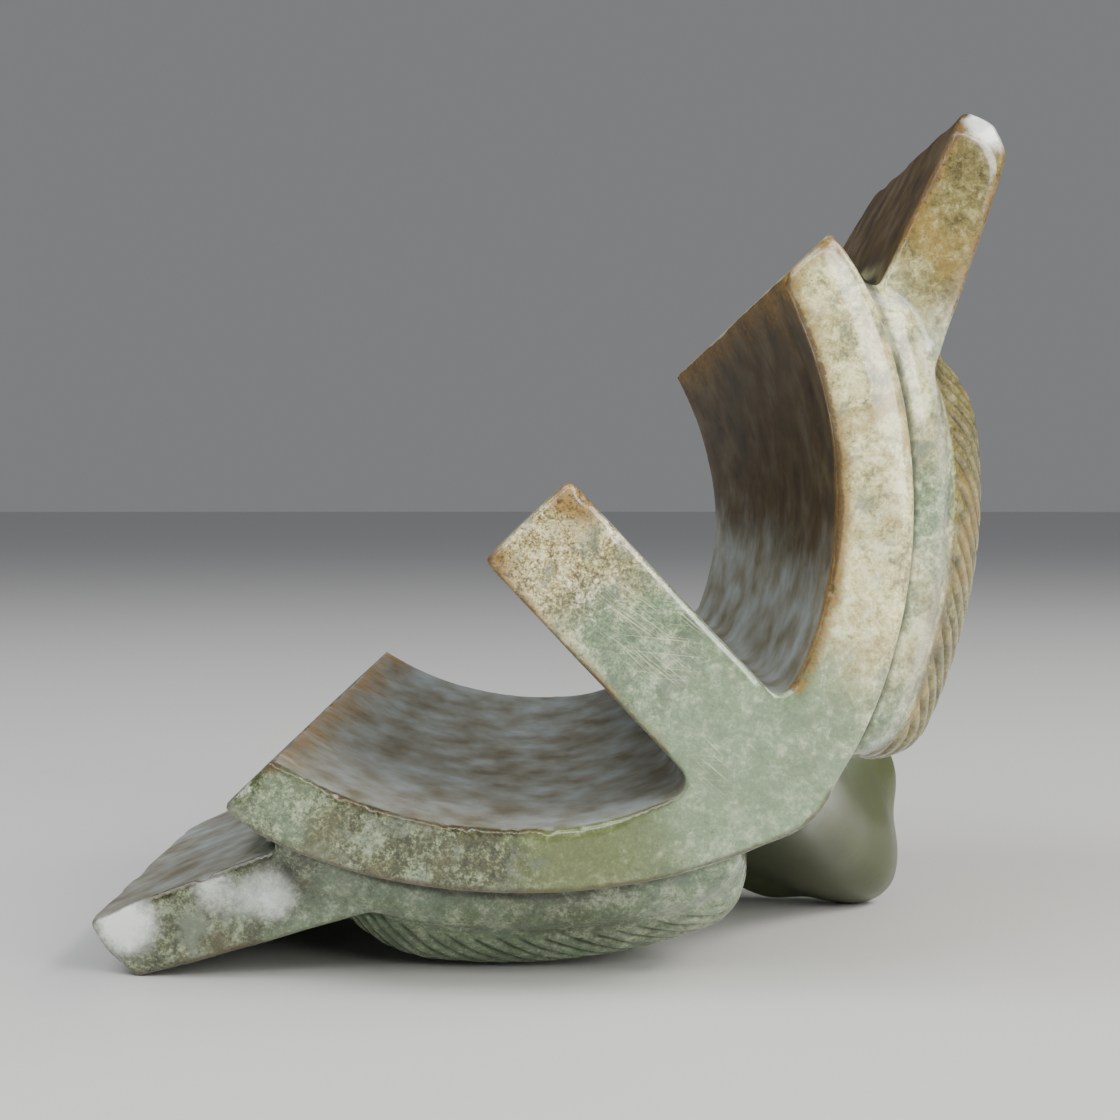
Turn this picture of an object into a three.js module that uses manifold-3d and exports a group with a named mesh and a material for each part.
// Carved jade head, hollowed at the back, lying on one ear and the nose.
//
// The head is worked upright first: x runs across the face, z runs forward from the flat back
// at z = 0, and y runs up, with the flat crown at y = 0. Heights on the face are given as a
// distance "down" from the crown. The finished head is then laid down with its crown towards -y.
// Millimetres throughout.

import * as THREE from 'three';
import { LoftGeometry } from 'three/addons/geometries/LoftGeometry.js';
import { mergeVertices } from 'three/addons/utils/BufferGeometryUtils.js';
import Module from 'manifold-3d';

// Driving dimensions
const HEAD_LENGTH = 60;
const CROWN_HALF_WIDTH = 22.5;
const CROWN_DEPTH = 22.0;
const CHIN_HALF_WIDTH = 18.2;
const WALL = 3.5;
const RIB_HALF_THICKNESS = 3.2;
const EAR_EDGE_ACROSS = 33.7;
const EAR_EDGE_FORWARD = 3.7;
const NOSE_FORWARD = 34.4;

// Places on the face, measured down from the crown
const BROW_TOP = 5.0;
const BROW_CREST = 10.2;
const BROW_FOOT = 13.4;
const EYE_DOWN = 19.2;
const NOSE_TIP_DOWN = 35.0;
const NOSE_BASE_DOWN = 39.2;
const MOUTH_DOWN = 45.0;
const CHIN_DOWN = 55.0;
const EAR_TOP = 6.5;
const EAR_FOOT = 56.0;

// Outline of the head at stations down its length: half width, depth, and the power of the
// superellipse, which turns from the pointed arch of the crown to a rounder face
const OUTLINE = [
  [0, CROWN_HALF_WIDTH, CROWN_DEPTH, 1.61],
  [5, 22.7, 22.1, 1.63],
  [13, 24.1, 22.4, 1.84],
  [22, 24.3, 22.3, 1.92],
  [32, 23.4, 23.2, 1.92],
  [42, 22.0, 24.6, 1.9],
  [52, 20.2, 24.4, 1.9],
  [HEAD_LENGTH, CHIN_HALF_WIDTH, 21.8, 1.9],
];

// The crown was carved a little fuller on one side, which fades down the face
const FULLER_SIDE = [
  [0, 0.07],
  [20, 0.02],
];

// Two hollows run down the back, one each side of the rib. Their arch is set out from a line
// behind the back, so that its sides still lean in where they meet it.
const HOLLOW_SET_BACK = 4;
const HOLLOW = [
  [0, CROWN_HALF_WIDTH - WALL + 0.2, 17.1 + HOLLOW_SET_BACK, 1.8],
  [15, 18.8, 17.1 + HOLLOW_SET_BACK, 1.8],
  [45, 17.2, 15.6 + HOLLOW_SET_BACK, 1.8],
  [HEAD_LENGTH, CHIN_HALF_WIDTH - 2.7, 14.8 + HOLLOW_SET_BACK, 1.8],
];

const clamp = THREE.MathUtils.clamp;
const lerp = THREE.MathUtils.lerp;

// Smooth curve through [place, value, ...] rows, level at a turning point, so it never overshoots
function along(rows, place, column = 1) {
  const last = rows.length - 1;
  if (place <= rows[0][0]) return rows[0][column];
  if (place >= rows[last][0]) return rows[last][column];
  const i = rows.findIndex((row, k) => place < rows[k + 1][0]);
  const slope = (k) => (rows[k + 1][column] - rows[k][column]) / (rows[k + 1][0] - rows[k][0]);
  const tangent = (k) => {
    if (k === 0) return slope(0);
    if (k === last) return slope(last - 1);
    const [before, after] = [slope(k - 1), slope(k)];
    return before * after <= 0 ? 0 : (2 * before * after) / (before + after);
  };
  const span = rows[i + 1][0] - rows[i][0];
  const t = (place - rows[i][0]) / span;
  const [a, b] = [rows[i][column], rows[i + 1][column]];
  const [m, n] = [tangent(i) * span, tangent(i + 1) * span];
  return a + t * (m + t * (3 * (b - a) - 2 * m - n + t * (m + n - 2 * (b - a))));
}

// Round hill of height 1 that ends at radius 1
const hill = (x, y) => Math.max(0, 1 - x * x - y * y) ** 2;

// Ridge of height 1 with a soft crest and a soft foot at distance 1
function tent(distance, softness) {
  const top = Math.hypot(1, softness);
  return Math.max(0, (top - Math.hypot(distance, softness)) / (top - softness)) ** 1.25;
}

// Brow: a thick band that steps out behind the crown and ends round beside the nose
const BROW_PROFILE = [
  [BROW_TOP, 0],
  [6.6, 2.3],
  [BROW_CREST, 3.8],
  [BROW_FOOT, 0],
];
const BROW_INNER_END = 3.5;
const BROW_END_LENGTH = 3.4;
const BROW_EAR_FADE = [3, 12];

function brow(across, forward, down) {
  const height = along(BROW_PROFILE, down);
  const end = 1 - clamp((across - BROW_INNER_END) / BROW_END_LENGTH, 0, 1);
  const rounded = (1 - end * end) ** 0.8;
  return height * rounded * THREE.MathUtils.smoothstep(forward, ...BROW_EAR_FADE);
}

// Socket: a shallow dish under the brow, which the eye is set in
const EYE_ACROSS = 9.8;
const socket = (across, down) => -1.5 * hill((across - 10) / 9.5, (down - EYE_DOWN + 0.6) / 6.8);

// Nose: a wedge that rises from between the brows, with rounded wings at its foot
const RIDGE = [
  [10.5, 22.3],
  [14, 23.8],
  [20, 26.2],
  [28, 30.6],
  [32.5, 33.7],
  [NOSE_TIP_DOWN, NOSE_FORWARD],
  [37.2, 32.6],
  [NOSE_BASE_DOWN, 24.4],
];
const NOSE_HALF_WIDTH = [
  [10.5, 3.0],
  [18, 3.8],
  [27, 5.6],
  [33, 7.2],
  [NOSE_BASE_DOWN, 7.0],
];
const NOSE_SOFTNESS = [
  [14, 0.5],
  [28, 0.3],
  [34, 0.4],
];

function nose(across, down) {
  const rise = Math.max(0, along(RIDGE, down) - along(OUTLINE, down, 2));
  const wedge = rise * tent(across / along(NOSE_HALF_WIDTH, down), along(NOSE_SOFTNESS, down));
  const wing = 2.4 * hill((across - 5.4) / 3.0, (down - 35.0) / 3.6);
  return wedge + wing;
}

// Mouth: two full closed lips, thinning to the corners, on a gentle mound, and the dip under the
// nose
const MOUTH_HALF_WIDTH = 8.2;

function mouth(across, down) {
  const mound = 1.5 * hill(across / 14, (down - MOUTH_DOWN) / 9);
  const width = Math.max(0, 1 - (across / MOUTH_HALF_WIDTH) ** 2);
  const thickness = 0.3 + 0.7 * Math.sqrt(width);
  const below = (down - MOUTH_DOWN) / thickness;
  const upper = 1.5 * Math.sqrt(width) * hill(0, (below + 1.5) / 2);
  const lower = 1.9 * Math.sqrt(width) * hill(0, (below - 1.8) / 2.4);
  const dip = -0.7 * hill(across / 1.8, (down - 41) / 3);
  return mound + upper + lower + dip;
}

const chin = (across, down) => 2.2 * hill(across / 11, (down - CHIN_DOWN) / 6);
const cheek = (across, down) => 1.2 * hill((across - 14) / 9, (down - 31) / 9);

const carving = (across, forward, down) =>
  brow(across, forward, down) +
  socket(across, down) +
  nose(across, down) +
  mouth(across, down) +
  chin(across, down) +
  cheek(across, down);

// Point of a superellipse arch at an angle from the middle, with its outward normal
function archPoint([halfWidth, depth, power], angle) {
  const side = Math.sign(Math.sin(angle));
  const across = halfWidth * Math.abs(Math.sin(angle)) ** (2 / power);
  const forward = depth * Math.max(0, Math.cos(angle)) ** (2 / power);
  const normal = new THREE.Vector2(
    (across / halfWidth) ** (power - 1) / halfWidth,
    (forward / depth) ** (power - 1) / depth,
  ).normalize();
  return { side, across, forward, normal };
}

const shapeAt = (rows, down) => [1, 2, 3].map((column) => along(rows, down, column));

// Angles round the face, close together where the features are
const FACE_HALF_WIDTH = 24;
const FEATURE_STEP = 0.85;
const FEATURE_COLUMNS = 19;
const SIDE_COLUMNS = 8;
const FACE_POWER = 1.9;

function faceAngles() {
  const reach = FEATURE_STEP * FEATURE_COLUMNS;
  const featureAngle = (across) => Math.asin((across / FACE_HALF_WIDTH) ** (FACE_POWER / 2));
  const half = [];
  for (let i = 1; i <= FEATURE_COLUMNS; i++) half.push(featureAngle(i * FEATURE_STEP));
  const edge = featureAngle(reach);
  for (let i = 1; i <= SIDE_COLUMNS; i++) half.push(lerp(edge, Math.PI / 2, i / SIDE_COLUMNS));
  return [...half.map((angle) => -angle).reverse(), 0, ...half].reverse();
}

// Stations down the face: end of each stretch and the number of steps in it
const STRETCHES = [
  [BROW_TOP, 2],
  [BROW_FOOT, 10],
  [24, 9],
  [NOSE_BASE_DOWN, 17],
  [50, 13],
  [HEAD_LENGTH, 6],
];

function stations() {
  const list = [0];
  for (const [end, steps] of STRETCHES) {
    const start = list[list.length - 1];
    for (let i = 1; i <= steps; i++) list.push(lerp(start, end, i / steps));
  }
  return list;
}

function faceSection(down) {
  const [halfWidth, depth, power] = shapeAt(OUTLINE, down);
  return faceAngles().map((angle) => {
    const sidePower = power + Math.sign(angle) * along(FULLER_SIDE, down);
    const { side, across, forward, normal } = archPoint([halfWidth, depth, sidePower], angle);
    const height = carving(across, forward, down);
    return new THREE.Vector3(
      side * (across + height * normal.x),
      -down,
      forward + height * normal.y,
    );
  });
}

// Hollow on the side given by 1 or -1: the rib's flat cheek, a small round corner, then the arch.
// The loft runs past both ends of the head.
const PAST = 4;
const CORNER_RADIUS = 0.9;
const CORNER_STEPS = 3;
const ARCH_STEPS = 16;

function hollowSection(down, side) {
  const shape = shapeAt(HOLLOW, clamp(down, 0, HEAD_LENGTH));
  const [halfWidth, , power] = shape;
  const arch = (angle) => {
    const { across, forward } = archPoint(shape, angle);
    return [across, forward - HOLLOW_SET_BACK];
  };
  const start = Math.asin(((RIB_HALF_THICKNESS + CORNER_RADIUS) / halfWidth) ** (power / 2));
  const cornerTop = arch(start)[1];
  const points = [[RIB_HALF_THICKNESS, -HOLLOW_SET_BACK]];
  for (let i = 0; i < CORNER_STEPS; i++) {
    const turn = (i / CORNER_STEPS) * (Math.PI / 2);
    points.push([
      RIB_HALF_THICKNESS + CORNER_RADIUS * (1 - Math.cos(turn)),
      cornerTop - CORNER_RADIUS * (1 - Math.sin(turn)),
    ]);
  }
  for (let i = 0; i <= ARCH_STEPS; i++) points.push(arch(lerp(start, Math.PI / 2, i / ARCH_STEPS)));
  const section = points.map(([across, forward]) => new THREE.Vector3(side * across, -down, forward));
  return side > 0 ? section.reverse() : section;
}

// Ear: a flange that sweeps out and back from the side of the head. Its top is cut flat with a
// shallow facet at the outer corner, and its foot rounds in to the jaw. The two were cut by hand
// and differ: "back" is how far forward the back of the outer edge sits, "bulge" how far the edge
// swells, and "facet" is the width of the facet.
const EARS = [
  { side: 1, back: 0.2, bulge: 0.6, facet: 1.3 },
  { side: -1, back: -0.6, bulge: 0.25, facet: 2.8 },
];
const EAR_STRAIGHT_TO = 47;
const EAR_INSIDE = 15;
const EAR_FACET_DROP = 0.8;
const EAR_ROOT_BACK = 7.1;
const EAR_ROOT_FRONT = 13.5;
const EAR_CORNER = 0.4;
const EAR_FOOT_DRAW = 0.72;
const EAR_FOOT_STATIONS = 6;

const earOutward = (across) => (across - EAR_INSIDE) / (EAR_EDGE_ACROSS - EAR_INSIDE);
const earFront = (across) => lerp(EAR_ROOT_FRONT, EAR_EDGE_FORWARD, earOutward(across));

function earReach(down, facet) {
  if (down < EAR_STRAIGHT_TO) {
    const cut = 1 - clamp((down - EAR_TOP) / EAR_FACET_DROP, 0, 1);
    return EAR_EDGE_ACROSS - facet * cut;
  }
  const fall = (down - EAR_STRAIGHT_TO) / (EAR_FOOT - EAR_STRAIGHT_TO);
  return lerp(EAR_INSIDE, EAR_EDGE_ACROSS, Math.sqrt(1 - EAR_FOOT_DRAW * fall * fall));
}

function earSection(down, { side, back, bulge, facet }) {
  const reach = earReach(down, facet);
  const outerBack = lerp(EAR_ROOT_BACK, back, earOutward(reach));
  const outerFront = earFront(reach);
  const points = [
    [EAR_INSIDE, EAR_ROOT_BACK],
    [reach - EAR_CORNER, outerBack],
    [reach, outerBack + EAR_CORNER],
    [reach + bulge, lerp(outerBack, outerFront, 0.5)],
    [reach, outerFront],
    [EAR_INSIDE, EAR_ROOT_FRONT],
  ];
  const section = points.map(([across, forward]) => new THREE.Vector3(side * across, -down, forward));
  return side > 0 ? section : section.reverse();
}

// Carving on the front of the ear: a groove that follows the rim, and a long dish beside it
const GROOVE = { from: 9.5, to: 52, inset: 2.2, width: 2.2, depth: 1.0, steps: 12 };
const DISH = { across: 26.2, down: 26, halfWidth: 2.6, halfLength: 8.5, depth: 1.2 };

function earGroove({ side, facet }) {
  const sections = [];
  for (let i = 0; i <= GROOVE.steps; i++) {
    const share = i / GROOVE.steps;
    const down = lerp(GROOVE.from, GROOVE.to, share);
    const swell = 0.1 + 0.9 * Math.sqrt(Math.sin(Math.PI * share));
    const middle = earReach(down, facet) - GROOVE.inset - (GROOVE.width / 2) * swell;
    const half = (GROOVE.width / 2) * swell;
    const section = [[middle + half, 0.1], [middle - half, 0.1], [middle, -GROOVE.depth * swell]]
      .map(([across, lift]) => new THREE.Vector3(side * across, -down, earFront(across) + lift));
    sections.push(side > 0 ? section : section.reverse());
  }
  return loft(sections);
}

function earDish({ side }) {
  const geometry = new THREE.SphereGeometry(1, 14, 9);
  geometry.scale(DISH.halfWidth, DISH.halfLength, DISH.depth);
  geometry.rotateY(side * Math.atan2(EAR_ROOT_FRONT - EAR_EDGE_FORWARD, EAR_EDGE_ACROSS - EAR_INSIDE));
  geometry.translate(side * DISH.across, -DISH.down, earFront(DISH.across));
  return solid(geometry);
}

const loft = (sections) => solid(new LoftGeometry(sections, { capStart: true, capEnd: true }));

// Closed solid of a geometry, from its corners alone
function solid(geometry) {
  const bare = new THREE.BufferGeometry();
  bare.setAttribute('position', geometry.getAttribute('position'));
  bare.setIndex(geometry.getIndex());
  const merged = mergeVertices(bare);
  return new wasm.Manifold(new wasm.Mesh({
    numProp: 3,
    vertProperties: merged.attributes.position.array,
    triVerts: merged.index.array,
  }));
}

function geometryOf(manifold) {
  const mesh = manifold.getMesh();
  const geometry = new THREE.BufferGeometry();
  geometry.setAttribute('position', new THREE.BufferAttribute(mesh.vertProperties, 3));
  geometry.setIndex(new THREE.BufferAttribute(mesh.triVerts, 1));
  geometry.computeVertexNormals();
  return geometry;
}

// Eye: an almond ball inside a raised almond rim. Each is built flat, up from the face, and bent
// round it, then turned to face outwards.
const EYE_HALF_WIDTH = 6.6;
const EYE_HALF_HEIGHT = 3.4;
const LID_WIDTH = 1.0;
const EYE_SLANT = 0.07;
const EYE_TURN = 0.42;
const EYE_FORWARD = 18.6;
const EYE_DEPTH = 2.4;
const LID_HEIGHT = 1.0;
const BALL_HEIGHT = 1.9;
const ALMOND_POINTS = 22;

function almond(halfWidth, halfHeight, height) {
  const points = [];
  for (let i = 0; i < ALMOND_POINTS; i++) {
    const turn = (i / ALMOND_POINTS) * 2 * Math.PI;
    const across = halfWidth * Math.cos(turn);
    const up = halfHeight * Math.sign(Math.sin(turn)) * Math.abs(Math.sin(turn)) ** 1.5;
    const bend = (across * across) / (2 * FACE_HALF_WIDTH);
    points.push(new THREE.Vector3(across, up, height - bend));
  }
  return points;
}

function eyeParts(side) {
  const [lidWide, lidHigh] = [EYE_HALF_WIDTH, EYE_HALF_HEIGHT];
  const [wide, high] = [EYE_HALF_WIDTH - 1.4 * LID_WIDTH, EYE_HALF_HEIGHT - LID_WIDTH];
  const lid = [
    almond(lidWide + 0.7, lidHigh + 0.7, -EYE_DEPTH),
    almond(lidWide + 0.3, lidHigh + 0.3, LID_HEIGHT * 0.5),
    almond(lidWide - 0.4, lidHigh - 0.4, LID_HEIGHT),
  ];
  const pit = [almond(wide, high, -0.2), almond(wide + 0.2, high + 0.2, LID_HEIGHT + 1)];
  const ball = [almond(wide + 0.1, high + 0.1, -EYE_DEPTH), almond(wide + 0.1, high + 0.1, -0.1)];
  for (const turn of [0.5, 0.95, 1.3]) {
    const shrink = Math.cos(turn);
    ball.push(almond(wide * shrink, high * shrink, (BALL_HEIGHT - 0.8) * Math.sin(turn)));
  }
  const place = new THREE.Matrix4().makeRotationZ(side * EYE_SLANT);
  place.premultiply(new THREE.Matrix4().makeRotationY(side * EYE_TURN));
  place.premultiply(new THREE.Matrix4().makeTranslation(side * EYE_ACROSS, -EYE_DOWN, EYE_FORWARD));
  const put = (sections) => sections.map((points) => points.map((point) => point.applyMatrix4(place)));
  return [lid, pit, ball].map((sections) => loft(put(sections)));
}

const wasm = await Module();
wasm.setup();

const blank = () => loft(stations().map(faceSection));

const hollow = (side) =>
  loft([-PAST, 0, 15, 30, 45, HEAD_LENGTH, HEAD_LENGTH + PAST].map((down) => hollowSection(down, side)));

function ear(which) {
  const list = [EAR_TOP, EAR_TOP + EAR_FACET_DROP, EAR_STRAIGHT_TO];
  for (let i = 1; i <= EAR_FOOT_STATIONS; i++) {
    list.push(lerp(EAR_STRAIGHT_TO, EAR_FOOT, Math.sin((i / EAR_FOOT_STATIONS) * (Math.PI / 2))));
  }
  const flange = loft(list.map((down) => earSection(down, which)));
  return flange.subtract(earGroove(which)).subtract(earDish(which));
}

function carvedHead() {
  let head = blank();
  for (const which of EARS) {
    const [lid, pit, ball] = eyeParts(which.side);
    head = head.add(ear(which)).subtract(hollow(which.side)).add(lid).subtract(pit).add(ball);
  }
  return geometryOf(head);
}

const jade = new THREE.MeshStandardMaterial({ color: 0x9aa184, roughness: 0.25, metalness: 0 });

const head = new THREE.Mesh(carvedHead(), jade);
head.name = 'jade_head';

// Laid down with the face under. The head rests on the outer edge of one ear, and the steepest
// line from that edge to the rest of the face, which meets the nose, lies along the table.
function restingRoll(geometry) {
  const corners = geometry.getAttribute('position');
  let steepest = 0;
  for (let i = 0; i < corners.count; i++) {
    const fromEdge = corners.getX(i) + EAR_EDGE_ACROSS;
    const rise = corners.getZ(i) - EAR_EDGE_FORWARD;
    if (fromEdge > 1) steepest = Math.max(steepest, Math.atan2(rise, fromEdge));
  }
  return steepest;
}
head.rotation.set(Math.PI, restingRoll(head.geometry), 0);

const group = new THREE.Group();
group.add(head);

// The origin is at the bottom middle of the lying head
const box = new THREE.Box3().setFromObject(group, true);
const middle = box.getCenter(new THREE.Vector3());
head.position.set(-middle.x, -middle.y, -box.min.z);

export default group;
